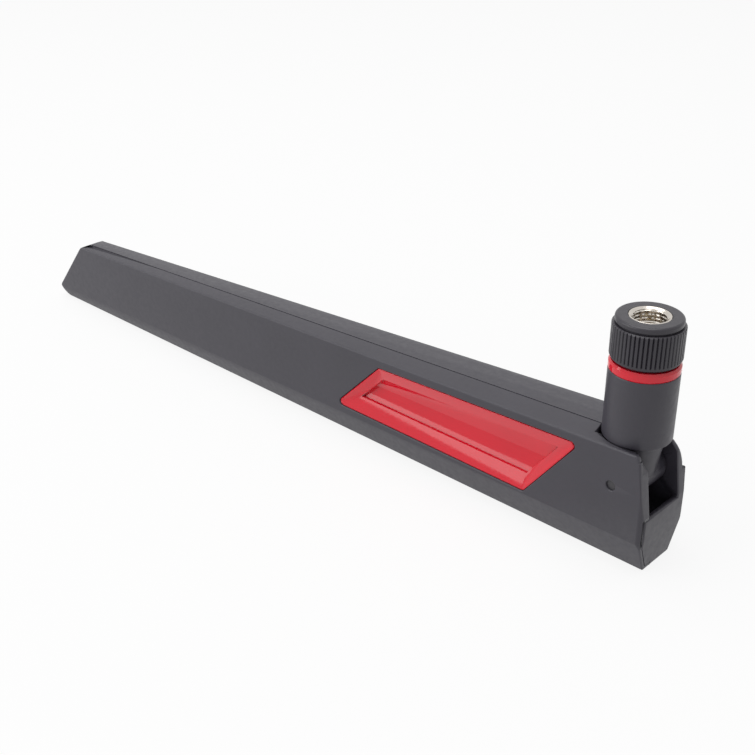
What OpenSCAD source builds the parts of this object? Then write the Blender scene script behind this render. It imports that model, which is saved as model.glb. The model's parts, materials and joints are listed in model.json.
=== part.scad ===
// Folding blade antenna on a coaxial plug. Millimetres, +Z up along the plug's axis.
// The origin is the centre of the coupling nut's mouth; the blade's tip points along -X.

/* [Blade] */
// Length from the hinge pin to the tip's low corner, before that corner is rounded
blade_len = 182.5; // [150:0.5:220]
// Height of the blade at the hinge pin
base_h = 25.8; // [25:0.1:30]
// Height of the blade at the tip
tip_h = 16.9; // [14:0.1:20]
// Thickness of the blade at the hinge pin
base_t = 15.2; // [14.8:0.1:18]
// Thickness of the blade at the tip
tip_t = 6.4; // [6:0.1:9]
// Lean of the tip's end from upright, in degrees
tip_rake = 40.5; // [20:0.5:48]
// Corner radius at the top of the tip
tip_top_r = 3.5; // [2:0.1:6]
// Corner radius at the bottom of the tip
tip_low_r = 2.4; // [1.5:0.1:4]
// Width of the flat along the top edge, at the pin
top_flat = 4.1; // [3:0.1:6]
// Drop from the top flat to the front and back faces, at the pin
top_drop = 0.85; // [0.5:0.05:1.6]
// Width of the flat along the bottom edge, at the pin
low_flat = 8.8; // [6:0.1:10]
// Height of the bevels beside the bottom flat, at the pin
low_bevel = 7.2; // [4:0.1:8]
// Distance from the pin down to the bottom edge
pin_low = 17.15; // [16.5:0.05:20]
// Distance from the pin to the hinge end's face
end_x = 7.2; // [7:0.05:7.4]
// Height above the bottom edge where the hinge end's upright part begins
end_low = 7.5; // [6:0.1:8]
// Height above the bottom edge where the hinge end's upright part stops
end_high = 12.5; // [11:0.1:14]
// Lean of the hinge end above its upright part, as a slope
lean_high = 0.145; // [0.1:0.005:0.16]
// Lean of the hinge end below its upright part, as a slope
lean_low = 0.06; // [0.02:0.01:0.1]
// Chamfer of the hinge end's upright corners
end_cut = 0.7; // [0.4:0.05:0.8]
// Thickness of the end wall
end_wall = 1.1; // [0.9:0.1:1.6]
// Wall of the two shells
wall = 1.8; // [1.4:0.1:2.2]
// Thin skin of the front cover round the end wall
end_skin = 0.9; // [0.7:0.05:1.2]

/* [Hinge] */
// Radius of the cheeks' round heads about the pin
head_r = 7.2; // [6.8:0.05:7.3]
// Width of the slot between the cheeks
slot_w = 10; // [9:0.1:10.4]
// Distance from the pin down to the top of the end wall
slot_drop = 5.4; // [5.4:0.05:6.2]
// Distance from the pin back to the end of the slot
slot_back = 5.9; // [5.6:0.05:6.2]
// Radius of the stem's knuckle about the pin
knuckle_r = 4.1; // [3.8:0.1:4.8]
// Radius of the round neck where it leaves the sleeve
neck_top_r = 5.2; // [4.6:0.1:5.6]
// Radius of the round neck above the knuckle
neck_r = 4.3; // [4.1:0.1:4.5]
// Gap on each side between the knuckle and a cheek, filled by a washer
side_gap = 0.3; // [0.25:0.01:0.4]
// Diameter of each hinge pin
pin_d = 1.9; // [1.6:0.1:2.4]
// Depth of each pin in the knuckle
pin_reach = 2.5; // [2:0.1:2.8]
// Depth of a pin's end below the face of its cheek
pin_sink = 0.45; // [0.2:0.05:0.7]
// Distance from the pin up to the underside of the sleeve
pin_drop = 7.5; // [7.5:0.05:8.5]
// Radial running clearance
run = 0.05; // [0.03:0.01:0.08]

/* [Stem and coupling nut] */
// Outside diameter of the coupling nut over its knurls
nut_d = 13; // [12.6:0.1:13]
// Height of the coupling nut
nut_h = 8.3; // [8:0.1:10]
// Number of knurls round the nut
knurls = 52; // [36:1:60]
// Depth of the knurls
knurl_depth = 0.25; // [0.15:0.05:0.4]
// Diameter of the raised disc on top of the nut
disc_d = 12.1; // [11.6:0.1:12.4]
// Outside diameter of the metal bush at the mouth
bush_d = 7.74; // [7.4:0.02:8.2]
// Minor diameter of the coupling thread
thread_d = 5.88; // [5.8:0.01:6]
// Distance from the thread's end down to the nut's underside
tail_h = 3.3; // [3.1:0.1:3.6]
// Gap between the nut and the red ring
nut_gap = 0.2; // [0.15:0.05:0.4]
// Height of the red ring
ring_h = 1.75; // [1.2:0.05:2.5]
// Outside diameter of the sleeve and the ring
sleeve_d = 12.9; // [12.4:0.1:13]
// Height of the sleeve
sleeve_h = 13.6; // [12.6:0.1:18]
// Clearance of the blade's recess round the sleeve
nest_gap = 0.2; // [0.2:0.05:0.5]

/* [Red insert] */
// Distance from the pin to the insert's top corner at the hinge end
tray_x = 7.5; // [7.4:0.1:14]
// Length of the insert's top edge
tray_len = 50.7; // [40:0.1:56]
// Distance from the blade's top edge down to the insert
tray_top = 2.8; // [2.4:0.1:4]
// Distance from the blade's bottom edge up to the insert
tray_low = 7.4; // [6.8:0.1:9]
// Lean of the insert's end near the hinge, in degrees
tray_near_rake = 38; // [30:0.5:45]
// Lean of the insert's end near the tip, in degrees
tray_far_rake = 45; // [35:0.5:48]
// Width of the sloping frame along the top
rim_top = 3.0; // [2.5:0.1:4]
// Width of the sloping frame along the bottom
rim_low = 3.5; // [2.5:0.1:4]
// Width of the sloping frame at the two ends
rim_end = 2.3; // [1.5:0.1:3]
// Corner radius of the insert
tray_r = 0.9; // [0.5:0.1:1.5]
// Depth of the sloping frame
rim_depth = 1.3; // [0.8:0.1:1.8]
// Depth of the floor where it meets the walls
floor_depth = 2.1; // [1.7:0.1:2.4]
// Extra depth of the floor along its crease
crease_depth = 0.7; // [0.3:0.1:1]
// Wall under the insert's floor
tray_wall = 1.0; // [0.8:0.1:1.2]

/* [Board and cable] */
// Height of the printed board
board_h = 9; // [7:0.5:10]
// Thickness of the printed board
board_t = 0.8; // [0.6:0.1:1]
// Distance from the pin to the board's near end
board_x = 86; // [84:0.5:88]
// Distance from the tip's low corner to the board's far end
board_end = 22.5; // [20:0.5:26]
// Thickness of the copper on the board
copper_t = 0.1; // [0.06:0.02:0.16]
// Outside diameter of the coaxial cable
coax_d = 1.8; // [1.4:0.1:1.8]

/* [Hidden] */
$fn = 96;

// Heights along the plug's axis, counted down from the mouth
ring_top = -(nut_h + nut_gap);
sleeve_top = ring_top - ring_h;
sleeve_low = sleeve_top - sleeve_h;
pin_z = sleeve_low - pin_drop;
low_z = pin_z - pin_low;

// The blade's taper in height and in thickness, for each millimetre along X
rise = (base_h - tip_h) / blade_len;
taper = (base_t - tip_t) / 2 / blade_len;
function top_z(x) = low_z + base_h + rise * x;
function half_t(x) = base_t / 2 + taper * x;

// Slopes of the bevels, and their share of the half thickness
flat_share = top_flat / base_t;
low_share = low_flat / base_t;
top_slope = top_drop / ((1 - flat_share) * base_t / 2);
low_slope = low_bevel / ((1 - low_share) * base_t / 2);

// Outward directions of the faces
top_n = unit([-(rise + flat_share * taper * top_slope), -top_slope, 1]);
low_n = unit([-low_share * taper * low_slope, -low_slope, -1]);
part_n = unit([-flat_share * taper, -1, 0]);
face_lean = atan(taper);

// The tip's sloping end in side view
tip_k = tan(tip_rake);
tip_n = [-cos(tip_rake), sin(tip_rake)];
rise_k = norm([1, rise]);

// The hinge end
slot_low = pin_z - slot_drop;
recess_z = pin_z + head_r;
nest_r = sleeve_d / 2 + nest_gap;
slot_x = -slot_back;
bulkhead_x = -nest_r - 1.85;
knuckle_w = slot_w - 2 * side_gap;

// The red insert's corners in side view: far low, far top, near top, near low
tray_z1 = low_z + tray_low;
near_top = [-tray_x, top_z(-tray_x) - tray_top];
far_top = [-tray_x - tray_len, top_z(-tray_x - tray_len) - tray_top];
near_low = [near_top.x - (near_top.y - tray_z1) * tan(tray_near_rake), tray_z1];
far_low = [far_top.x - (far_top.y - tray_z1) * tan(tray_far_rake), tray_z1];
tray_corners = [far_low, far_top, near_top, near_low];
rims = [rim_end, rim_top, rim_end, rim_low];

// The printed board
board_y = 0.2;
board_z = low_z + 8.6;
board_len = blade_len - board_x - board_end;
board_x1 = -board_x - board_len;
feed_x = -board_x - board_len * 0.19;
post_x = board_len * 0.065;
cable_z = board_z - 1.5;

// The plug: depths below the mouth
thread_h = nut_h - tail_h;
thread_run = thread_h - 2.05;
barrel_z = -thread_h + 1.9;
flange_z = -thread_h - 0.2;
groove_z = -nut_h + 1.7;
body_rear = sleeve_top - 5.8;
stub_rear = body_rear - 3.4;

// Ribs across the rear shell, with a notch for the cable or for the board
rib_t = 1;
rib_pitch = blade_len * 0.093;
ribs = [for (i = [0:8]) -25 - rib_pitch * i];

// Route of the cable inside the blade, from the hinge to the board
route = [[0, 0, pin_z], [-5, 0, pin_z], [-11, 0.1, pin_z - 0.3], [-20, 0.6, pin_z - 4],
  [-30, 0.9, pin_z - 8.6], [-42, 0.9, cable_z + 0.2], [-60, 0.7, cable_z], [-76, 0.4, cable_z],
  [-board_x + 2, board_y - copper_t - coax_d / 2 - 0.02, cable_z],
  [feed_x + 6, board_y - copper_t - coax_d / 2 - 0.02, cable_z]];

function unit(v) = v / norm(v);
function cross3(a, b) = [a.y * b.z - a.z * b.y, a.z * b.x - a.x * b.z, a.x * b.y - a.y * b.x];
function flip_y(v) = [v.x, -v.y, v.z];

// Corners of the blade's side view with every edge moved in by w
function tip_low_pt(w) = [-blade_len + w * tip_k + w / cos(tip_rake), low_z + w];
function tip_top_pt(w) = let(x = (-blade_len + (base_h - w * rise_k) * tip_k
  + w / cos(tip_rake)) / (1 - rise * tip_k)) [x, top_z(x) - w * rise_k];

// The point where two lines meet, each given by a point and a direction
function meet(p, u, q, v) = p + u * ((q - p).x * v.y - (q - p).y * v.x) / (u.x * v.y - u.y * v.x);
// A convex outline with each side i moved in by w[i]; points run clockwise
function inset(pts, w) = [for (i = [0:len(pts) - 1]) let(n = len(pts), a = pts[(i + n - 1) % n],
  b = pts[i], c = pts[(i + 1) % n], u = unit(b - a), v = unit(c - b),
  un = [u.y, -u.x], vn = [v.y, -v.x])
  meet(b + un * w[(i + n - 1) % n], u, b + vn * w[i], v)];
// The same outline with its corners rounded, as points along each arc
function rounded(pts, r, steps = 5) = let(c = inset(pts, [for (p = pts) r]))
  [for (i = [0:len(pts) - 1]) let(n = len(pts), u = unit(pts[i] - pts[(i + n - 1) % n]),
    v = unit(pts[(i + 1) % n] - pts[i]), a0 = atan2(u.x, -u.y), turn = acos(u * v))
    for (k = [0:steps]) c[i] + r * [cos(a0 - turn * k / steps), sin(a0 - turn * k / steps)]];

// Everything on the outer side of the plane through p with outward direction n
module beyond(p, n) {
  translate(p) rotate([0, acos(n.z), atan2(n.y, n.x)])
    translate([-300, -300, 0]) cube([600, 600, 300]);
}

// A side view (x, z) made solid from y = y0 to y = y1
module side(y0, y1) {
  translate([0, y1, 0]) rotate([90, 0, 0]) linear_extrude(y1 - y0) children();
}

// Children placed on the blade's front face, with +Y going in
module on_face() {
  translate([0, -base_t / 2, 0]) rotate([0, 0, -face_lean]) children();
}

// A cylinder along Y through the hinge pin's axis
module about_pin(r, y0, y1) {
  translate([0, y1, pin_z]) rotate([90, 0, 0]) cylinder(r = r, h = y1 - y0);
}

// A round part along the plug's axis between two heights
module round_z(r, z0, z1) {
  translate([0, 0, z0]) cylinder(r = r, h = z1 - z0);
}

// Side view of the blade with every edge moved in by w, and the hinge end by e
module blade_side(w, e) {
  ra = max(tip_low_r - w, 0.3);
  rb = max(tip_top_r - w, 0.3);
  a = tip_low_pt(w + ra);
  b = tip_top_pt(w + rb);
  x1 = end_x - e;
  polygon([[a.x, low_z + w], [x1, low_z + w], [x1, top_z(x1) - w * rise_k],
    b + rb * unit([-rise, 1]), b + rb * tip_n, a + ra * tip_n]);
  translate(a) circle(ra);
  translate(b) circle(rb);
}

// The tapered eight-sided blade with every face moved in by w
module blade_form(w = 0, e = 0) {
  difference() {
    intersection() {
      side(-20, 20) blade_side(w, e);
      translate([0, 0, low_z - 10]) linear_extrude(80)
        polygon([for (s = [[-1, -200], [-1, 30], [1, 30], [1, -200]])
          [s[1], s[0] * (half_t(s[1]) - w)]]);
    }
    for (m = [0, 1]) mirror([0, m, 0]) {
      beyond([0, -top_flat / 2, low_z + base_h] - w * top_n, top_n);
      beyond([0, -low_flat / 2, low_z] - w * low_n, low_n);
      beyond([end_x - e - end_cut, w - half_t(end_x), 0], unit([1, -1, 0]));
    }
    beyond([end_x - e, 0, low_z + end_high], unit([1, 0, lean_high]));
    beyond([end_x - e, 0, low_z + end_low], unit([1, 0, -lean_low]));
  }
}

// Cuts that both shells share at the hinge end: the neck's slot and the sleeve's recess
module hinge_cuts() {
  translate([slot_x, -slot_w / 2, slot_low]) cube([30, slot_w, 60]);
  round_z(nest_r, recess_z, 0);
  translate([0, -nest_r, recess_z]) cube([30, 2 * nest_r, 60]);
  // the heads of the cheeks are round about the pin
  difference() {
    translate([0, -nest_r, pin_z]) cube([30, 2 * nest_r, 60]);
    about_pin(head_r, -nest_r - 1, nest_r + 1);
  }
}

// Positions of the pegs that line the two shells up: x and height above the bottom edge
pegs = [for (p = [[0.186, 4.2], [0.444, 13.5], [0.745, 15.1], [0.915, 7]]) [-blade_len * p.x, p.y]];

// One rib across the inside of the blade, between two depths
module rib(x, y0, y1) {
  intersection() {
    translate([x, y0, low_z]) cube([rib_t, y1 - y0, 60]);
    blade_form(wall / 2);
  }
}

// The front shell, with its window for the red insert
module front_cover() {
  color([0.30, 0.30, 0.32]) difference() {
    union() {
      difference() {
        blade_form();
        beyond([0, -top_flat / 2, 0], -part_n);
        intersection() {
          blade_form(wall);
          translate([-300, -20, low_z]) cube([300 + bulkhead_x, 40, 60]);
        }
        // the rear shell's end block reaches in here, under the cheek
        intersection() {
          blade_form(end_skin, -5);
          translate([bulkhead_x - 1, -20, low_z]) cube([30, 40, slot_low - low_z]);
        }
      }
      intersection() {
        on_face() side(0.6, 3) polygon(inset(tray_corners, [-1.6, -1.6, -1.6, -1.6]));
        blade_form(0.3);
      }
      for (p = pegs) intersection() {
        union() {
          peg_y = -flat_share * half_t(p.x);
          translate([p.x, peg_y + 1.6, low_z + p.y]) rotate([90, 0, 0]) cylinder(r = 0.75, h = 8);
          difference() {
            translate([p.x, 0, low_z + p.y]) rotate([90, 0, 0]) cylinder(r = 1.6, h = 8);
            beyond([0, -top_flat / 2, 0], -part_n);
          }
        }
        blade_form(0.5);
      }
      for (x = ribs) if (x < -board_x) rib(x, -20, -flat_share * half_t(x) - 0.3);
    }
    hinge_cuts();
    about_pin(pin_d / 2, -20, 0);
    on_face() side(-2, rim_depth + 0.35) polygon(rounded(inset(tray_corners,
      [-0.08, -0.08, -0.08, -0.08]), tray_r));
    on_face() side(-2, 9) polygon(inset(tray_corners, [for (w = rims) w - 1.25]));
    // the skin over the hinge has a small round corner
    corner_x = end_x - lean_high * (base_h - end_high);
    translate([corner_x, 0, top_z(corner_x)]) rotate([90, 0, 0]) difference() {
      translate([-1.2, -1.2 - top_drop, 0]) cube([5, 5, 20]);
      translate([-1.2, -1.2 - top_drop, -1]) cylinder(r = 1.2, h = 22);
    }
  }
}

// The rear shell: back cheek, end wall and bulkhead
module rear_body() {
  color([0.28, 0.28, 0.30]) difference() {
    union() {
      difference() {
        blade_form();
        beyond([0, -top_flat / 2, 0], part_n);
        intersection() {
          blade_form(wall);
          translate([-300, -20, low_z]) cube([300 + bulkhead_x, 40, 60]);
        }
      }
      // block behind the front cover's thin skin, under the slot
      intersection() {
        blade_form(end_skin, 0);
        translate([bulkhead_x, -20, low_z]) cube([30, 20, slot_low - low_z]);
      }
      for (p = pegs) intersection() {
        translate([p.x, 10, low_z + p.y]) rotate([90, 0, 0]) cylinder(r = 1.6, h = 20);
        blade_form(0.5);
        difference() {
          translate([-300, -30, low_z]) cube([400, 60, 60]);
          beyond([0, -top_flat / 2, 0], part_n);
        }
      }
      for (x = ribs) difference() {
        rib(x, -flat_share * half_t(x) + 0.3, 20);
        if (x < -board_x)
          translate([x - 1, -10, board_z - board_h / 2 - 0.1])
            cube([3, 10 + board_y + board_t, board_h + 0.2]);
        else
          translate([x - 1, -10, cable_z - 1.3]) cube([3, 12.1, pin_z - 4 - cable_z + 1.3]);
      }
      // two posts that locate the board
      for (x = [-board_x - post_x, board_x1 + post_x]) intersection() {
        translate([x, 10, board_z + 2.6]) rotate([90, 0, 0]) cylinder(r = 0.8, h = 10.3);
        blade_form(0.5);
      }
    }
    hinge_cuts();
    about_pin(pin_d / 2, 0, 20);
    // hollow behind the end wall, open to the slot above it
    intersection() {
      blade_form(wall + 0.7, end_wall);
      translate([slot_x, -20, low_z]) cube([30, 40, slot_low - 1.6 - low_z]);
    }
    translate([slot_x, -slot_w / 2, slot_low - 2]) cube([end_x - end_wall - slot_x, slot_w, 3]);
    // passage for the cable
    translate([bulkhead_x - 1, 0, pin_z]) rotate([0, 90, 0]) cylinder(r = coax_d / 2 + 0.25, h = 10);
    for (p = pegs) translate([p.x, -flat_share * half_t(p.x) + 1.9, low_z + p.y])
      rotate([90, 0, 0]) cylinder(r = 0.75 + run, h = 4);
    // the back skin stops at the cheek's head, which has a wide chamfer
    translate([-3, nest_r - 0.5, recess_z]) cube([30, 20, 60]);
    difference() {
      translate([0, 0, pin_z]) cube([30, 20, 60]);
      about_pin(head_r, -1, 5.8);
      translate([0, 5.8, pin_z]) rotate([-90, 0, 0]) cylinder(r1 = head_r, r2 = head_r - 2.4, h = 2.6);
    }
  }
}

// The glossy red tray: sloping frame, short walls and a floor with a crease
module red_insert() {
  lip = inset(tray_corners, rims);
  tub = inset(tray_corners, [for (w = rims) w - 1.15]);
  crease = [(lip[0] + lip[1]) / 2, (lip[2] + lip[3]) / 2];
  color([0.80, 0.06, 0.14]) on_face() difference() {
    union() {
      side(0.2, rim_depth + 0.35) polygon(rounded(tray_corners, tray_r));
      side(0.3, floor_depth + crease_depth + tray_wall) polygon(tub);
    }
    // the sloping frame
    hull() {
      side(-1, 0.2) polygon(rounded(inset(tray_corners, [0.3, 0.3, 0.3, 0.3]), tray_r - 0.2));
      side(rim_depth, rim_depth + 0.02) polygon(lip);
    }
    // the pocket
    hull() {
      side(0, floor_depth) polygon(lip);
      for (c = crease) translate([c.x, 0, c.y]) rotate([-90, 0, 0])
        cylinder(r = 0.02, h = floor_depth + crease_depth, $fn = 4);
    }
  }
}

// Two short pins, one in each cheek
module hinge_pins() {
  color([0.30, 0.30, 0.32]) for (m = [0, 1]) mirror([0, m, 0])
    about_pin(pin_d / 2, -half_t(0) + pin_sink, -knuckle_w / 2 + pin_reach);
}

// Thin washers on each side of the knuckle
module friction_washers() {
  color([0.75, 0.76, 0.78]) for (m = [0, 1]) mirror([0, m, 0]) difference() {
    about_pin(2.7, -slot_w / 2, -knuckle_w / 2 - 0.04);
    about_pin(pin_d / 2, -20, 0);
  }
}

// The sleeve with its neck and knuckle, one moulding
module stem_sleeve() {
  color([0.29, 0.29, 0.31]) difference() {
    union() {
      translate([0, 0, sleeve_low]) rotate_extrude() polygon([[0, 0], [sleeve_d / 2 - 0.5, 0],
        [sleeve_d / 2 - 0.15, 0.15], [sleeve_d / 2, 0.5], [sleeve_d / 2, sleeve_h - 0.12],
        [sleeve_d / 2 - 0.12, sleeve_h], [0, sleeve_h]]);
      round_z(4.7, sleeve_top - 0.5, ring_top - 0.3);
      neck_low = pin_z + 0.7;
      round_z(neck_r, neck_low, neck_low + 2);
      // the neck widens up to the sleeve, flat on the sides that face the cheeks
      intersection() {
        translate([0, 0, neck_low + 1.5])
          cylinder(r1 = neck_r, r2 = neck_top_r, h = sleeve_low - 1.3 - neck_low);
        about_pin(20, -knuckle_w / 2, knuckle_w / 2);
      }
      about_pin(knuckle_r, -knuckle_w / 2, knuckle_w / 2);
    }
    // bore for the plug, room for the crimp, and the cable's passage
    round_z(3.6, body_rear, 0);
    round_z(2.9, sleeve_low + 1.4, body_rear + 1);
    round_z(coax_d / 2 + 0.2, pin_z, 0);
    // the cable leaves through a quarter slot, so that it can bend or run straight
    translate([-10, -coax_d / 2 - 0.3, pin_z - 10]) cube([10 + coax_d / 2 + 0.3, coax_d + 0.6,
      10 + coax_d / 2 + 0.3]);
    for (m = [0, 1]) mirror([0, m, 0])
      about_pin(pin_d / 2 + run, -knuckle_w, -knuckle_w / 2 + pin_reach + 0.15);
  }
}

// Trim ring over the sleeve's collar
module red_ring() {
  r = sleeve_d / 2;
  color([0.80, 0.06, 0.14]) translate([0, 0, sleeve_top]) rotate_extrude()
    polygon([[4.7, 0], [r - 0.15, 0], [r, 0.2], [r, ring_h - 0.45], [r - 0.35, ring_h], [4.7, ring_h]]);
}

// The knurled grip of the coupling nut
module nut_cover() {
  r = nut_d / 2;
  rd = disc_d / 2;
  edge_r = 0.5;
  knurl_top = -1.4;
  knurl_low = -nut_h + 0.8;
  color([0.13, 0.13, 0.15]) difference() {
    union() {
      // raised disc with a rounded edge, and the groove under it
      rotate_extrude() union() {
        translate([rd - edge_r, -edge_r]) circle(edge_r);
        polygon([[0, 0], [rd - edge_r, 0], [rd - edge_r, -edge_r], [rd, -edge_r], [rd, -1], [rd - 0.3, -1.1],
          [rd - 0.3, knurl_top - 0.2], [0, knurl_top - 0.2]]);
      }
      // ribs and the V grooves between them
      intersection() {
        translate([0, 0, knurl_low]) linear_extrude(knurl_top - knurl_low)
          polygon([for (i = [0:knurls - 1]) for (k = [[-0.28, 0], [0.28, 0], [0.5, 1]])
            (r - k[1] * knurl_depth) * [cos((i + k[0]) * 360 / knurls), sin((i + k[0]) * 360 / knurls)]]);
        translate([0, 0, knurl_low]) rotate_extrude() polygon([[0, 0], [r, 0],
          [r, knurl_top - knurl_low - 0.25], [r - 0.25, knurl_top - knurl_low], [0, knurl_top - knurl_low]]);
      }
      // plain band at the bottom
      translate([0, 0, -nut_h]) rotate_extrude() polygon([[0, 0], [r - 0.6, 0], [r - 0.2, 0.4],
        [r - 0.2, 0.9], [0, 0.9]]);
    }
    round_z(bush_d / 2, -3, 1);
    round_z(bush_d / 2 + 0.7, -nut_h - 1, -1.6);
  }
}

// The metal bush: coupling thread, running bore and the snap ring's groove
module nut_insert() {
  r1 = bush_d / 2;
  r2 = thread_d / 2;
  color([0.72, 0.70, 0.66]) rotate_extrude() polygon([[r2, 0], [r1 - 0.15, 0], [r1, -0.15],
    [r1, -1.6], [r1 + 0.7, -1.6], [r1 + 0.7, -nut_h + 0.1], [3.2, -nut_h + 0.1],
    [3.2, groove_z - 0.6], [3.6, groove_z - 0.6], [3.6, groove_z], [3.2, groove_z],
    [3.2, -thread_h], [r2 + 0.2, -thread_h], [r2 + 0.2, -thread_run - 0.15], [r2, -thread_run]]);
}

// Open ring that keeps the nut on the plug body
module snap_ring() {
  color([0.70, 0.55, 0.25]) difference() {
    translate([0, 0, groove_z - 0.55]) rotate_extrude()
      polygon([[2.75, 0], [3.5, 0], [3.5, 0.5], [2.75, 0.5]]);
    translate([-5, -0.4, groove_z - 1]) cube([5, 0.8, 2]);
  }
}

// Seal in the bottom of the coupling nut
module gasket() {
  color([0.75, 0.30, 0.20]) rotate_extrude() polygon([[2.32, flange_z], [thread_d / 2 - 0.07, flange_z],
    [thread_d / 2 - 0.07, flange_z + 0.5], [thread_d / 2 - 0.2, flange_z + 0.6], [2.32, flange_z + 0.6]]);
}

// The plug body: outer contact, flange, pressed barrel and crimp stub
module connector_body() {
  color([0.78, 0.76, 0.70]) rotate_extrude() polygon([[2.05, barrel_z], [2.2, barrel_z],
    [2.3, barrel_z - 0.15], [2.3, flange_z], [3.15, flange_z], [3.15, groove_z], [2.7, groove_z],
    [2.7, groove_z - 0.6], [3.15, groove_z - 0.6], [3.15, ring_top - 0.5], [3.6, ring_top - 0.5],
    [3.6, body_rear], [1.15, body_rear], [1.15, stub_rear], [0.75, stub_rear],
    [0.75, body_rear + 0.6], [1, body_rear + 0.6], [1, body_rear + 2], [2.05, body_rear + 2]]);
}

// Insulator between the two contacts
module dielectric() {
  color([0.93, 0.90, 0.82]) rotate_extrude() polygon([[0.65, barrel_z - 0.25], [2.05, barrel_z - 0.25],
    [2.05, body_rear + 2], [1, body_rear + 2], [1, body_rear + 0.6], [0.45, body_rear + 0.6],
    [0.45, body_rear + 2], [0.65, body_rear + 2]]);
}

// The socket contact in the middle
module center_contact() {
  color([0.85, 0.68, 0.30]) difference() {
    union() {
      round_z(0.64, body_rear + 2, barrel_z - 0.2);
      round_z(0.45, body_rear + 0.8, body_rear + 2.5);
    }
    round_z(0.45, barrel_z - 3.4, 0);
    translate([-1, -0.08, barrel_z - 2.6]) cube([2, 0.16, 4]);
  }
}

// Clamps the braid on the plug's stub
module crimp_ferrule() {
  color([0.70, 0.68, 0.62]) translate([0, 0, stub_rear - 0.8]) rotate_extrude()
    polygon([[coax_d / 2, 0], [1.6, 0], [1.6, body_rear - stub_rear + 0.7],
      [1.15, body_rear - stub_rear + 0.7], [1.15, 0.75], [coax_d / 2, 0.7]]);
}

// The cable in the stem: its core goes up through the stub, its jacket down to the hinge
module coax_stem() {
  color([0.12, 0.12, 0.12]) union() {
    round_z(0.45, stub_rear - 1, body_rear + 0.75);
    round_z(coax_d / 2, pin_z + coax_d / 2 + 0.15, stub_rear - 0.05);
  }
}

// A smooth point at u along the route's list of points
function route_pt(p, u) = let(n = len(p) - 1, i = min(floor(u), n - 1), t = u - i,
  a = p[max(i - 1, 0)], b = p[i], c = p[i + 1], d = p[min(i + 2, n)])
  0.5 * (2 * b + (c - a) * t + (2 * a - 5 * b + 4 * c - d) * t * t + (3 * b - a - 3 * c + d) * t * t * t);

// A round cable swept along the route, with a domed start and a flat end
module cable(p, r, sides = 10, per = 4) {
  n = (len(p) - 1) * per;
  c = [for (i = [0:n]) route_pt(p, i / per)];
  start = unit(c[1] - c[0]);
  spots = concat([for (a = [75, 50, 25]) [c[0] - start * r * sin(a), r * cos(a), start]],
    [for (i = [0:n]) [c[i], r, unit(c[min(i + 1, n)] - c[max(i - 1, 0)])]]);
  last = len(spots) - 1;
  points = [for (s = spots) let(u = unit(cross3([0, 1, 0], s[2])), v = cross3(s[2], u))
    for (k = [0:sides - 1]) s[0] + s[1] * (u * cos(k * 360 / sides) + v * sin(k * 360 / sides))];
  polyhedron(points, concat([[for (k = [0:sides - 1]) k]],
    [for (i = [0:last - 1]) for (k = [0:sides - 1]) let(a = i * sides + k, b = i * sides + (k + 1) % sides)
      [a, a + sides, b + sides, b]],
    [[for (k = [sides - 1:-1:0]) last * sides + k]]), convexity = 6);
}

// The cable in the blade, from the hinge's axis to the board
module coax_blade() {
  color([0.12, 0.12, 0.12]) cable(route, coax_d / 2);
}

// The cable's stripped end, each layer a little shorter than the one under it
module strand(r, x0, x1) {
  translate([x0, route[9].y, cable_z]) rotate([0, -90, 0]) cylinder(r = r, h = x0 - x1, $fn = 32);
}
module coax_braid() { color([0.75, 0.74, 0.72]) strand(coax_d / 2 - 0.2, feed_x + 6, feed_x + 1.6); }
module coax_core() { color([0.93, 0.93, 0.90]) strand(coax_d / 2 - 0.45, feed_x + 1.6, feed_x); }
module coax_wire() { color([0.80, 0.60, 0.40]) strand(0.18, feed_x, feed_x - 2.2); }

// The board with its two locating holes
module radiator_board() {
  color([0.10, 0.35, 0.20]) difference() {
    translate([board_x1, board_y, board_z - board_h / 2]) cube([board_len, board_t, board_h]);
    for (x = [-board_x - post_x, board_x1 + post_x]) translate([x, 10, board_z + 2.6]) rotate([90, 0, 0])
      cylinder(r = 0.8 + run, h = 20);
  }
}

// One patch of copper on the board's front, from x0 to x1 and z0 to z1 about the board's middle
module copper(x0, x1, z0, z1) {
  translate([x0, board_y - copper_t, board_z + z0]) cube([x1 - x0, copper_t, z1 - z0]);
}
module radiator_copper() {
  color([0.80, 0.50, 0.25]) union() {
    copper(feed_x - 3, feed_x - 0.8, -3, 1);
    copper(feed_x - board_len * 0.4, feed_x - 2.9, -3.6, -0.4);
    copper(feed_x - board_len * 0.32, feed_x - 0.8, 0.9, 3.4);
  }
}
module ground_copper() {
  color([0.80, 0.50, 0.25]) union() {
    copper(feed_x + 0.8, -board_x - 0.6, -4, 0.6);
    copper(feed_x + 0.8, feed_x + 4, 0.5, 4);
  }
}

// Rounded beads of solder over the wire and the braid
module bead(x, z, rx, ry) {
  intersection() {
    translate([x, board_y - copper_t, z]) rotate([90, 0, 0]) rotate_extrude() intersection() {
      square([rx, ry]);
      translate([0, ry - (rx * rx + ry * ry) / (2 * ry)]) circle((rx * rx + ry * ry) / (2 * ry));
    }
    translate([x - 9, board_y - copper_t - 9, z - 9]) cube([18, 9, 18]);
  }
}
module core_solder() {
  color([0.78, 0.78, 0.80]) difference() {
    bead(feed_x - 1.9, cable_z, 1, 1.35);
    strand(0.18, feed_x, feed_x - 2.2);
  }
}
module braid_solder() {
  color([0.78, 0.78, 0.80]) difference() {
    bead(feed_x + 3.4, cable_z, 1.7, 1.1);
    strand(coax_d / 2 - 0.2, feed_x + 6, feed_x + 1.6);
  }
}

// Foam pads between the board and the back wall
module foam_pads() {
  color([0.25, 0.25, 0.25]) for (i = [6, 7]) intersection() {
    translate([ribs[i] + 3.5, board_y + board_t, board_z - 3]) cube([10, 10, 6]);
    blade_form(wall);
  }
}

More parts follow.
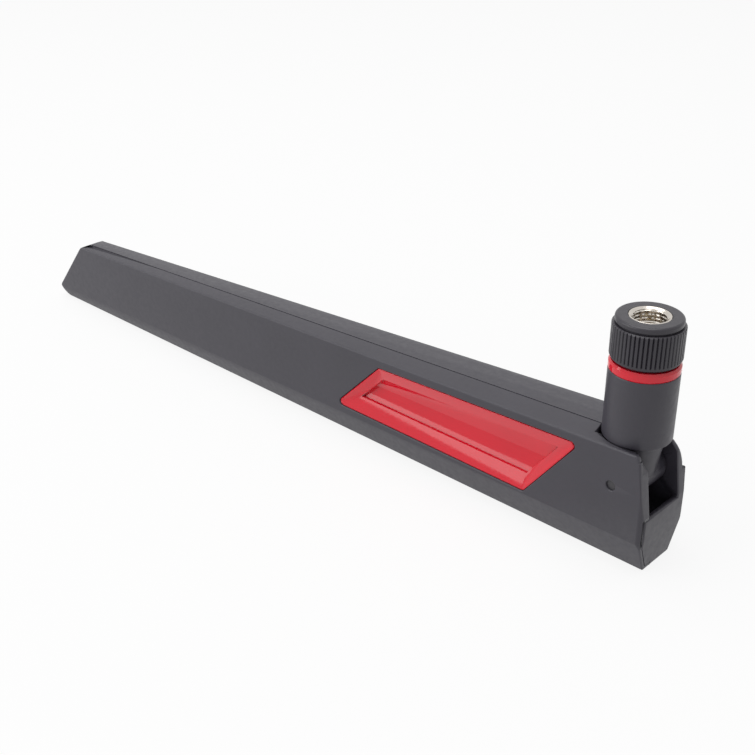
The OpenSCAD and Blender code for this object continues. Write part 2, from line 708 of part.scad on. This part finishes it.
front_cover();
rear_body();
red_insert();
hinge_pins();
friction_washers();
stem_sleeve();
red_ring();
nut_cover();
nut_insert();
snap_ring();
gasket();
connector_body();
dielectric();
center_contact();
crimp_ferrule();
coax_stem();
coax_blade();
coax_braid();
coax_core();
coax_wire();
radiator_board();
radiator_copper();
ground_copper();
core_solder();
braid_solder();
foam_pads();
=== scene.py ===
import json
import math

import bmesh
import bpy
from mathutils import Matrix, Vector

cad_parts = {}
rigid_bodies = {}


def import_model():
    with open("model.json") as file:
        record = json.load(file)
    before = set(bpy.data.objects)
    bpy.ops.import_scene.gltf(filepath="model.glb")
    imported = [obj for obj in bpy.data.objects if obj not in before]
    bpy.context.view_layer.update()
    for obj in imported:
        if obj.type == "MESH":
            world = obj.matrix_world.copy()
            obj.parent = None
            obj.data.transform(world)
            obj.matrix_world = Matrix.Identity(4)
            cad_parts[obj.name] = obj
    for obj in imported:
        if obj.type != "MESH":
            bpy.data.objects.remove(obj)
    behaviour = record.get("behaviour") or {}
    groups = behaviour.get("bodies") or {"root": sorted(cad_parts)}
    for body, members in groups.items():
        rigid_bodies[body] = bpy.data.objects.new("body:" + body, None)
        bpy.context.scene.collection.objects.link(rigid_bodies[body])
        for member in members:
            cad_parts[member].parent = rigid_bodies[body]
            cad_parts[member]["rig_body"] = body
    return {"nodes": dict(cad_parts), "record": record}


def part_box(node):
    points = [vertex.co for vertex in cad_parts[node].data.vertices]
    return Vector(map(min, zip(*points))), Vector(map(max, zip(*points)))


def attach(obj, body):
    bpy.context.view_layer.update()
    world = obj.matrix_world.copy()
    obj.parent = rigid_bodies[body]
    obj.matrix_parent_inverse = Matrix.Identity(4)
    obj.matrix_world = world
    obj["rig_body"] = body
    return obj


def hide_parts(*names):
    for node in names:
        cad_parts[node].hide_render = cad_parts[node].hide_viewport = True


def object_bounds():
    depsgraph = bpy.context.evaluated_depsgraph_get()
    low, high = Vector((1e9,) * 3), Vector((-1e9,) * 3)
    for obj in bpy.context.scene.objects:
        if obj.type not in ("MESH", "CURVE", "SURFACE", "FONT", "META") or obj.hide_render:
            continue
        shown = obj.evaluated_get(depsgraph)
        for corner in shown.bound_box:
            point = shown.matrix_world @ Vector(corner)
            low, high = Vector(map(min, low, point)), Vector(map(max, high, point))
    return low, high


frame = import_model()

# The looks of a folding blade antenna on a coaxial plug, in metres and in the frame's own axes:
# +Z out of the plug's mouth, the blade's tip towards -X, the red insert on the -Y face.

cad_low, cad_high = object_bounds()

# The photograph's camera, found from the blade's straight edges and the plug's ellipses
PHOTO_SIDE = 755
SENSOR_WIDTH = 36.0
FOCAL_PIXELS = 1224.65
CAMERA_PLACE = (0.095613, -0.173596, 0.088120)
CAMERA_TURN = 42.60
CAMERA_DIP = 27.53
NEAREST_SEEN = 0.01
FARTHEST_SEEN = 20

# The object's main places, read off the frame
FLOOR_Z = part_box("rear_body")[0].z
MOUTH_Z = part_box("nut_insert")[1].z
MIDDLE = (cad_low + cad_high) / 2

# Rounding of the moulded edges, each node's own width; joints get only a share of it
ROUND_WIDTHS = {"front_cover": 0.00028, "rear_body": 0.00028, "stem_sleeve": 0.00014,
                "red_insert": 0.00016}
ROUND_STEPS = 2
JOINT_SHARE = 0.04
SHARP_FROM = math.radians(24)
SMOOTH_UP_TO = math.radians(50)
FLAT_WEIGHT = 100
MERGE_GAP = 1e-6

# How the outer edges are told from the inner ones
START_GAP = 1e-5
SIDE_STEP = 1e-4
JOINT_REACH = 0.00035
SEEN_FROM = 0.2

# The coupling thread: 36 turns to the inch
THREAD_PITCH = 0.0254 / 36
THREAD_TURNS = 5
THREAD_START = 0.0006
THREAD_STEPS = 64
GROOVE_SIDES = 3
GROOVE_SIZE = 0.00039
GROOVE_MIDDLE = 0.00285

# The countersink at the coupling nut's mouth
SINK_SIDES = 96
SINK_MOUTH_R = 0.00352
SINK_END_R = 0.0029
SINK_DEPTH = 0.00045
SINK_ABOVE = 0.0001
BUSH_SMOOTH_UP_TO = math.radians(20)

# The noise of a finish, whose middle values are spread over the whole range
NOISE_LOW = 0.3
NOISE_HIGH = 0.7
MOTTLE_DETAIL = 4.0
SHEEN_DETAIL = 3.0
EVEN = (1, 1, 1)

# Levels of the light
WORLD_LEVEL = 0.38
FLOOR_SIZE = 6
FLOOR_WHITE = 0.9
FLOOR_GLOW = 0.87
WHITE = (1, 1, 1, 1)

# The lamps: name, place, size and power, and the point on the blade that they face
LAMP_AIM = (-0.05, 0, -0.03)
LAMPS = (("overhead", (-0.15, -0.05, 0.75), 0.7, 3.9),
         ("front_left", (-0.58, -0.68, 0.14), 0.8, 4.3))


def make_camera():
    """A camera where the photographer's was."""
    data = bpy.data.cameras.new("camera")
    data.sensor_width = SENSOR_WIDTH
    data.lens = SENSOR_WIDTH * FOCAL_PIXELS / PHOTO_SIDE
    data.clip_start = NEAREST_SEEN
    data.clip_end = FARTHEST_SEEN
    camera = bpy.data.objects.new("camera", data)
    camera.location = CAMERA_PLACE
    camera.rotation_euler = (math.radians(90 - CAMERA_DIP), 0, math.radians(CAMERA_TURN))
    bpy.context.scene.collection.objects.link(camera)
    bpy.context.scene.camera = camera


class Finish:
    """A procedural material: one Principled shader and the nodes that feed it."""

    def __init__(self, name, color, roughness, metallic=0.0):
        self.material = bpy.data.materials.new(name)
        self.material.use_nodes = True
        self.nodes = self.material.node_tree.nodes
        self.links = self.material.node_tree.links
        self.shader = self.nodes["Principled BSDF"]
        self.shader.inputs["Base Color"].default_value = (*color, 1)
        self.shader.inputs["Roughness"].default_value = roughness
        self.shader.inputs["Metallic"].default_value = metallic
        self.color = color
        self.place = self.nodes.new("ShaderNodeTexCoord").outputs["Object"]

    def node(self, kind, **inputs):
        """A new node of a kind, with some of its inputs set."""
        node = self.nodes.new(kind)
        for name, value in inputs.items():
            node.inputs[name.replace("_", " ")].default_value = value
        return node

    def noise(self, scale, detail, stretch=EVEN):
        """Noise of a given scale, drawn out along the axes by stretch."""
        mapping = self.node("ShaderNodeMapping", Scale=stretch)
        noise = self.node("ShaderNodeTexNoise", Scale=scale, Detail=detail)
        self.links.new(self.place, mapping.inputs["Vector"])
        self.links.new(mapping.outputs["Vector"], noise.inputs["Vector"])
        return noise.outputs["Fac"]

    def spread(self, value, low, high):
        """The same pattern, spread between two levels."""
        node = self.node("ShaderNodeMapRange", From_Min=NOISE_LOW, From_Max=NOISE_HIGH,
                         To_Min=low, To_Max=high)
        self.links.new(value, node.inputs["Value"])
        return node.outputs["Result"]

    def mottle(self, scale, amount):
        """Varies the colour a little, darker and lighter by amount."""
        mix = self.nodes.new("ShaderNodeMix")
        mix.data_type = "RGBA"
        mix.inputs["A"].default_value = (*(c * (1 - amount) for c in self.color), 1)
        mix.inputs["B"].default_value = (*(min(1, c * (1 + amount)) for c in self.color), 1)
        pattern = self.spread(self.noise(scale, MOTTLE_DETAIL), 0, 1)
        self.links.new(pattern, mix.inputs["Factor"])
        self.links.new(mix.outputs["Result"], self.shader.inputs["Base Color"])
        return self

    def sheen_change(self, scale, low, high, stretch=EVEN):
        """Varies the roughness between two levels."""
        pattern = self.spread(self.noise(scale, SHEEN_DETAIL, stretch), low, high)
        self.links.new(pattern, self.shader.inputs["Roughness"])
        return self

    def relief(self, scale, height, strength, detail=2.0):
        """Raises a fine grain from the surface."""
        bump = self.node("ShaderNodeBump", Strength=strength, Distance=height)
        self.links.new(self.noise(scale, detail), bump.inputs["Height"])
        self.links.new(bump.outputs["Normal"], self.shader.inputs["Normal"])
        return self

    def set(self, **values):
        """Sets some of the shader's own inputs."""
        for name, value in values.items():
            self.shader.inputs[name.replace("_", " ")].default_value = value
        return self


def charcoal_moulding():
    charcoal = Finish("charcoal_moulding", (0.037, 0.034, 0.045), 0.42)
    return charcoal.mottle(70, 0.06).sheen_change(900, 0.38, 0.48).relief(5200, 0.00003, 0.25, 3.0)


def charcoal_pin():
    pin = Finish("charcoal_pin", (0.036, 0.034, 0.039), 0.4)
    return pin.mottle(300, 0.06).sheen_change(900, 0.36, 0.46)


def red_gloss():
    red = Finish("red_gloss", (0.66, 0.0015, 0.018), 0.05)
    red.mottle(90, 0.03).sheen_change(400, 0.035, 0.07).relief(160, 0.00002, 0.05)
    return red.set(IOR=1.5)


def black_grip():
    black = Finish("black_grip", (0.026, 0.023, 0.031), 0.42)
    return black.mottle(200, 0.1).sheen_change(700, 0.3, 0.42).relief(5200, 0.00002, 0.15)


def nickel_plate():
    nickel = Finish("nickel_plate", (0.58, 0.54, 0.49), 0.26, 1.0)
    return nickel.mottle(500, 0.04).sheen_change(1500, 0.14, 0.26, (1, 1, 5))


def washer_steel():
    steel = Finish("washer_steel", (0.66, 0.67, 0.68), 0.3, 1.0)
    return steel.mottle(500, 0.03).sheen_change(1800, 0.25, 0.4)


def spring_brass():
    brass = Finish("spring_brass", (0.74, 0.55, 0.24), 0.3, 1.0)
    return brass.mottle(500, 0.05).sheen_change(1500, 0.25, 0.4)


def gold_flash():
    gold = Finish("gold_flash", (0.86, 0.66, 0.30), 0.22, 1.0)
    return gold.mottle(500, 0.04).sheen_change(1500, 0.18, 0.3)


def copper_foil():
    copper = Finish("copper_foil", (0.76, 0.42, 0.26), 0.35, 1.0)
    return copper.mottle(300, 0.08).sheen_change(1200, 0.3, 0.45)


def tinned_braid():
    braid = Finish("tinned_braid", (0.66, 0.66, 0.64), 0.4, 1.0)
    return braid.mottle(900, 0.1).sheen_change(2500, 0.3, 0.5).relief(3500, 0.00008, 0.6)


def bright_solder():
    solder = Finish("bright_solder", (0.74, 0.74, 0.76), 0.2, 1.0)
    return solder.mottle(700, 0.05).sheen_change(1500, 0.15, 0.3)


def ivory_insulator():
    insulator = Finish("ivory_insulator", (0.66, 0.59, 0.46), 0.4)
    insulator.mottle(300, 0.04).sheen_change(900, 0.35, 0.45)
    return insulator.set(Subsurface_Weight=0.15, Subsurface_Radius=(0.001, 0.0008, 0.0005),
                         Subsurface_Scale=0.5)


def seal_rubber():
    seal = Finish("seal_rubber", (0.36, 0.07, 0.04), 0.6)
    return seal.mottle(400, 0.08).sheen_change(900, 0.55, 0.7)


def cable_jacket():
    jacket = Finish("cable_jacket", (0.024, 0.024, 0.025), 0.45)
    return jacket.mottle(200, 0.1).sheen_change(900, 0.4, 0.5)


def solder_mask():
    board = Finish("solder_mask", (0.02, 0.15, 0.07), 0.3)
    return board.mottle(120, 0.1).sheen_change(900, 0.25, 0.35).relief(2500, 0.00003, 0.2)


def foam():
    soft = Finish("foam", (0.05, 0.05, 0.052), 0.9)
    return soft.mottle(800, 0.2).sheen_change(900, 0.85, 0.95).relief(1800, 0.0003, 0.7)


def make_finishes():
    """One finish for each of the record's material slots."""
    makers = {"shell_plastic": charcoal_moulding, "pin_plastic": charcoal_pin,
              "red_plastic": red_gloss, "black_plastic": black_grip, "nickel": nickel_plate,
              "steel": washer_steel, "brass": spring_brass, "gold_contact": gold_flash,
              "copper": copper_foil, "braid": tinned_braid, "solder": bright_solder,
              "insulator": ivory_insulator, "seal_rubber": seal_rubber,
              "cable_jacket": cable_jacket, "board": solder_mask, "foam": foam}
    return {slot: maker() for slot, maker in makers.items()}


def dress(thing, finish):
    """Gives an object one finish all over."""
    thing.data.materials.clear()
    thing.data.materials.append(finish.material)


def dress_frame(finishes, slots):
    """Gives each CAD node the finish of its slot."""
    for name, thing in frame["nodes"].items():
        dress(thing, finishes[slots[name]])


def pick(thing):
    """Selects one object alone and makes it the active one."""
    bpy.ops.object.select_all(action="DESELECT")
    thing.select_set(True)
    bpy.context.view_layer.objects.active = thing


def apply(thing, kind, **values):
    """Adds one modifier and applies it."""
    pick(thing)
    modifier = thing.modifiers.new(kind.lower(), kind)
    for name, value in values.items():
        setattr(modifier, name, value)
    bpy.ops.object.modifier_apply(modifier=modifier.name)


def seat(piece, node, slots, finishes):
    """The piece stands for a CAD node: it rides on the node's body and takes its slot's finish."""
    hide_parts(node)
    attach(piece, frame["nodes"][node]["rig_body"])
    dress(piece, finishes[slots[node]])


def clear_of_others(place, direction, reach):
    """Whether nothing of the frame lies that way within reach."""
    graph = bpy.context.evaluated_depsgraph_get()
    start = place + direction * START_GAP
    return not bpy.context.scene.ray_cast(graph, start, direction, distance=reach)[0]


def outer_edges(mesh):
    """The sharp convex edges that are seen from outside, free ones and those along a joint."""
    free, joint = [], []
    for edge in mesh.edges:
        if len(edge.link_faces) != 2 or not edge.is_convex or edge.calc_face_angle() < SHARP_FROM:
            continue
        middle = (edge.verts[0].co + edge.verts[1].co) / 2
        sides = [face.normal for face in edge.link_faces]
        if not clear_of_others(middle, (sides[0] + sides[1]).normalized(), SEEN_FROM):
            continue
        inward = [(face.calc_center_median() - middle).normalized() * SIDE_STEP
                  for face in edge.link_faces]
        open_sides = [clear_of_others(middle + step, side, JOINT_REACH)
                      for step, side in zip(inward, sides)]
        (free if all(open_sides) else joint).append(edge.index)
    return free, joint


def merged_copy(node, name):
    """A copy of a CAD node with its loose triangles joined."""
    piece = frame["nodes"][node].copy()
    piece.data = piece.data.copy()
    piece.name = name
    bpy.context.scene.collection.objects.link(piece)
    pick(piece)
    bpy.ops.object.mode_set(mode="EDIT")
    bpy.ops.mesh.select_all(action="SELECT")
    bpy.ops.mesh.remove_doubles(threshold=MERGE_GAP)
    bpy.ops.object.mode_set(mode="OBJECT")
    return piece


def weigh_outer_edges(piece):
    """Gives the outer edges the share of the rounding's width that each of them gets."""
    bpy.ops.object.mode_set(mode="EDIT")
    mesh = bmesh.from_edit_mesh(piece.data)
    free, joint = outer_edges(mesh)
    weight = mesh.edges.layers.float.new("bevel_weight_edge")
    mesh.edges.ensure_lookup_table()
    for edges, share in ((free, 1.0), (joint, JOINT_SHARE)):
        for index in edges:
            mesh.edges[index][weight] = share
    bmesh.update_edit_mesh(piece.data)
    bpy.ops.object.mode_set(mode="OBJECT")


def rounded_copy(node, width):
    """A copy of a CAD node with its outer edges rounded, as they leave the mould."""
    piece = merged_copy(node, node + "_rounded")
    weigh_outer_edges(piece)
    apply(piece, "BEVEL", width=width, segments=ROUND_STEPS, limit_method="WEIGHT",
          use_clamp_overlap=False, loop_slide=False)
    apply(piece, "SHRINKWRAP", target=frame["nodes"][node], wrap_mode="INSIDE",
          wrap_method="NEAREST_SURFACEPOINT")
    pick(piece)
    bpy.ops.object.shade_smooth_by_angle(angle=SMOOTH_UP_TO)
    apply(piece, "WEIGHTED_NORMAL", mode="FACE_AREA", weight=FLAT_WEIGHT, keep_sharp=True)
    return piece


def make_rounded_pieces(slots, finishes):
    """The outer mouldings; all are rounded before the first one takes its node's place."""
    pieces = {node: rounded_copy(node, width) for node, width in ROUND_WIDTHS.items()}
    for node, piece in pieces.items():
        seat(piece, node, slots, finishes)


def close_up(piece, sides):
    """Fills the open ends and turns every face outwards."""
    pick(piece)
    bpy.ops.object.mode_set(mode="EDIT")
    bpy.ops.mesh.select_all(action="SELECT")
    bpy.ops.mesh.remove_doubles(threshold=MERGE_GAP)
    bpy.ops.mesh.fill_holes(sides=sides)
    bpy.ops.mesh.normals_make_consistent(inside=False)
    bpy.ops.object.mode_set(mode="OBJECT")


def thread_groove():
    """A three-sided bar wound down the bore, to cut the coupling thread."""
    bpy.ops.mesh.primitive_circle_add(vertices=GROOVE_SIDES, radius=GROOVE_SIZE,
                                      fill_type="NOTHING",
                                      location=(GROOVE_MIDDLE, 0, MOUTH_Z + THREAD_START),
                                      rotation=(math.pi / 2, math.pi / 2, 0))
    bar = bpy.context.active_object
    bpy.ops.object.transform_apply(location=True, rotation=True, scale=True)
    apply(bar, "SCREW", axis="Z", screw_offset=-THREAD_PITCH, iterations=THREAD_TURNS,
          steps=THREAD_STEPS, render_steps=THREAD_STEPS)
    close_up(bar, GROOVE_SIDES)
    return bar


def countersink():
    """A cone at the mouth, to widen the bore's first edge."""
    slope = (SINK_MOUTH_R - SINK_END_R) / SINK_DEPTH
    bpy.ops.mesh.primitive_cone_add(vertices=SINK_SIDES, radius1=SINK_END_R,
                                    radius2=SINK_MOUTH_R + slope * SINK_ABOVE,
                                    depth=SINK_DEPTH + SINK_ABOVE,
                                    location=(0, 0, MOUTH_Z + (SINK_ABOVE - SINK_DEPTH) / 2))
    return bpy.context.active_object


def cut_away(piece, cutter):
    """Cuts one closed form out of another."""
    apply(piece, "BOOLEAN", operation="DIFFERENCE", solver="EXACT", object=cutter)
    bpy.data.objects.remove(cutter)


def make_threaded_bush(slots, finishes):
    """The nut's metal bush with its inside thread and a countersunk mouth."""
    bush = merged_copy("nut_insert", "threaded_bush")
    cut_away(bush, thread_groove())
    cut_away(bush, countersink())
    pick(bush)
    bpy.ops.object.shade_smooth_by_angle(angle=BUSH_SMOOTH_UP_TO)
    seat(bush, "nut_insert", slots, finishes)


def looking_rays(nodes, links):
    """1 for rays from the camera and for those mirrored or let through by a surface."""
    path = nodes.new("ShaderNodeLightPath")
    seen = path.outputs["Is Camera Ray"]
    for kind in ("Is Glossy Ray", "Is Transmission Ray"):
        either = nodes.new("ShaderNodeMath")
        either.operation = "MAXIMUM"
        links.new(seen, either.inputs[0])
        links.new(path.outputs[kind], either.inputs[1])
        seen = either.outputs["Value"]
    return seen


def floor_paint():
    """Pale paint, mostly plain white to a looking ray, so that only a faint shadow is left."""
    paint = bpy.data.materials.new("floor_paint")
    paint.use_nodes = True
    nodes, links = paint.node_tree.nodes, paint.node_tree.links
    nodes.clear()
    diffuse = nodes.new("ShaderNodeBsdfDiffuse")
    diffuse.inputs["Color"].default_value = (FLOOR_WHITE, FLOOR_WHITE, FLOOR_WHITE, 1)
    glow = nodes.new("ShaderNodeEmission")
    blend = nodes.new("ShaderNodeMixShader")
    share = nodes.new("ShaderNodeMath")
    share.operation = "MULTIPLY"
    share.inputs[1].default_value = FLOOR_GLOW
    out = nodes.new("ShaderNodeOutputMaterial")
    links.new(looking_rays(nodes, links), share.inputs[0])
    links.new(share.outputs["Value"], blend.inputs["Fac"])
    links.new(diffuse.outputs["BSDF"], blend.inputs[1])
    links.new(glow.outputs["Emission"], blend.inputs[2])
    links.new(blend.outputs["Shader"], out.inputs["Surface"])
    return paint


def make_floor():
    """A pale floor under the blade."""
    bpy.ops.mesh.primitive_plane_add(size=FLOOR_SIZE, location=(MIDDLE.x, 0, FLOOR_Z))
    floor = bpy.context.active_object
    floor.name = "floor"
    floor.data.materials.append(floor_paint())


def make_surround():
    """A plain even surround, which is white to a looking ray."""
    world = bpy.data.worlds.new("studio")
    bpy.context.scene.world = world
    world.use_nodes = True
    nodes, links = world.node_tree.nodes, world.node_tree.links
    nodes.clear()
    plain = nodes.new("ShaderNodeBackground")
    plain.inputs["Strength"].default_value = WORLD_LEVEL
    plain.inputs["Color"].default_value = WHITE
    white = nodes.new("ShaderNodeBackground")
    white.inputs["Color"].default_value = WHITE
    blend = nodes.new("ShaderNodeMixShader")
    out = nodes.new("ShaderNodeOutputWorld")
    links.new(looking_rays(nodes, links), blend.inputs["Fac"])
    links.new(plain.outputs["Background"], blend.inputs[1])
    links.new(white.outputs["Background"], blend.inputs[2])
    links.new(blend.outputs["Shader"], out.inputs["Surface"])


def add_lamp(name, place, size, power):
    """A square soft lamp that faces the object."""
    data = bpy.data.lights.new(name, "AREA")
    data.size = size
    data.energy = power
    lamp = bpy.data.objects.new(name, data)
    lamp.location = place
    facing = Vector(LAMP_AIM) - Vector(place)
    lamp.rotation_euler = facing.to_track_quat("-Z", "Y").to_euler()
    bpy.context.scene.collection.objects.link(lamp)


def make_studio():
    """The floor, the surround and the soft lamps."""
    make_floor()
    make_surround()
    for lamp in LAMPS:
        add_lamp(*lamp)


make_camera()
slots = {part["node"]: part["material_slot"] for part in frame["record"]["subparts"]}
finishes = make_finishes()
dress_frame(finishes, slots)
make_rounded_pieces(slots, finishes)
make_threaded_bush(slots, finishes)
make_studio()
bpy.context.scene.view_settings.view_transform = "Standard"
